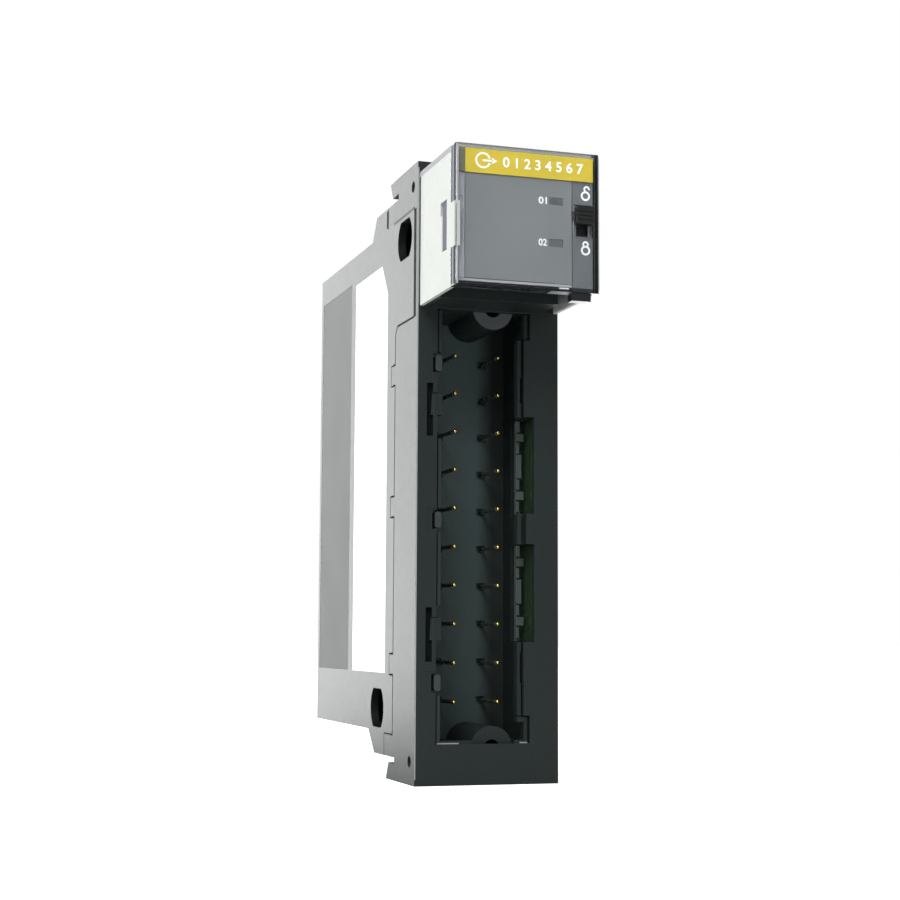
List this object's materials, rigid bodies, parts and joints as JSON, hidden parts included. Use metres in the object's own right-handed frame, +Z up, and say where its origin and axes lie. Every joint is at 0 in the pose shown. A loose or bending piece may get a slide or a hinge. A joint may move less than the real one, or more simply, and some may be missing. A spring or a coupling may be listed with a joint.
{
  "type": "plc module",
  "caption": "Tall narrow rack-mounted control module with a clear-fronted status box, a recessed pin well for a terminal block, rim hooks with sprung latches and a rear plug.",
  "frame": {"origin": "centre of the mating face of the rear plug", "axes": "+X across the module to the right seen from the front, +Y to the rear, out of the rear plug, +Z up"},
  "size_m": [0.035, 0.1314, 0.145],
  "materials": {
    "front_bezel": "fine moulded texture, charcoal",
    "main_case": "fine moulded texture, charcoal",
    "side_cover": "fine speckled texture, light grey",
    "side_label": "blank white film label",
    "rating_label": "blank grey matt label",
    "top_latch": "black moulded plastic",
    "bottom_latch": "black moulded plastic",
    "latch_pins": "turned steel",
    "top_latch_spring": "spring strip",
    "bottom_latch_spring": "spring strip",
    "status_housing": "white moulded plastic",
    "clear_cover": "clear polycarbonate, smooth",
    "legend_panel": "grey printed film",
    "type_strip": "mustard yellow printed film",
    "slide_guide": "grey moulded plastic",
    "locking_slide": "black moulded plastic",
    "light_pipes": "clear moulded plastic",
    "status_board": "green solder mask",
    "status_leds": "pale LED package",
    "status_ribbon": "flat cable and its end blocks",
    "terminal_header": "black moulded plastic",
    "contact_pins": "gold plated",
    "solder_tails": "tinned",
    "coding_rack": "dark grey moulded plastic",
    "coding_keys": "dark grey moulded plastic",
    "main_board": "green solder mask on glass laminate",
    "board_screws": "zinc plated pan-head screws",
    "backplane_plug": "cream moulded plastic",
    "backplane_contacts": "gold plated",
    "power_converter": "black coated metal can",
    "transformers": "ferrite cores and taped windings",
    "capacitors": "sleeved electrolytic cans",
    "logic_chips": "black moulded packages",
    "output_drivers": "black moulded packages"
  },
  "bodies": {
    "module": {"front_bezel": "front_bezel", "main_case": "main_case", "side_cover": "side_cover", "side_label": "side_label", "rating_label": "rating_label", "latch_pins": "latch_pins", "top_latch_spring": "top_latch_spring", "bottom_latch_spring": "bottom_latch_spring", "status_housing": "status_housing", "clear_cover": "clear_cover", "legend_panel": "legend_panel", "type_strip": "type_strip", "slide_guide": "slide_guide", "light_pipes": "light_pipes", "status_board": "status_board", "status_leds": "status_leds", "status_ribbon": "status_ribbon", "terminal_header": "terminal_header", "contact_pins": "contact_pins", "solder_tails": "solder_tails", "coding_rack": "coding_rack", "coding_keys": "coding_keys", "main_board": "main_board", "board_screws": "board_screws", "backplane_plug": "backplane_plug", "backplane_contacts": "backplane_contacts", "power_converter": "power_converter", "transformers": "transformers", "capacitors": "capacitors", "logic_chips": "logic_chips", "output_drivers": "output_drivers"},
    "top_latch": {"top_latch": "top_latch"},
    "bottom_latch": {"bottom_latch": "bottom_latch"},
    "locking_slide": {"locking_slide": "locking_slide"}
  },
  "joints": [
    {"name": "top_latch_pivot", "type": "hinge", "parent": "module", "child": "top_latch", "pos_m": [0, -0.0995, 0.0672], "axis": [1, 0, 0], "range_deg": [-4, 0], "stiffness_Nm_per_rad": 0.4, "springref_deg": 5.73, "deforming": ["top_latch_spring"]},
    {"name": "bottom_latch_pivot", "type": "hinge", "parent": "module", "child": "bottom_latch", "pos_m": [0, -0.0995, -0.0672], "axis": [1, 0, 0], "range_deg": [0, 4], "stiffness_Nm_per_rad": 0.4, "springref_deg": -5.73, "deforming": ["bottom_latch_spring"]},
    {"name": "locking_slide_travel", "type": "slide", "parent": "module", "child": "locking_slide", "axis": [0, 0, -1], "range_m": [0, 0.0024]}
  ]
}
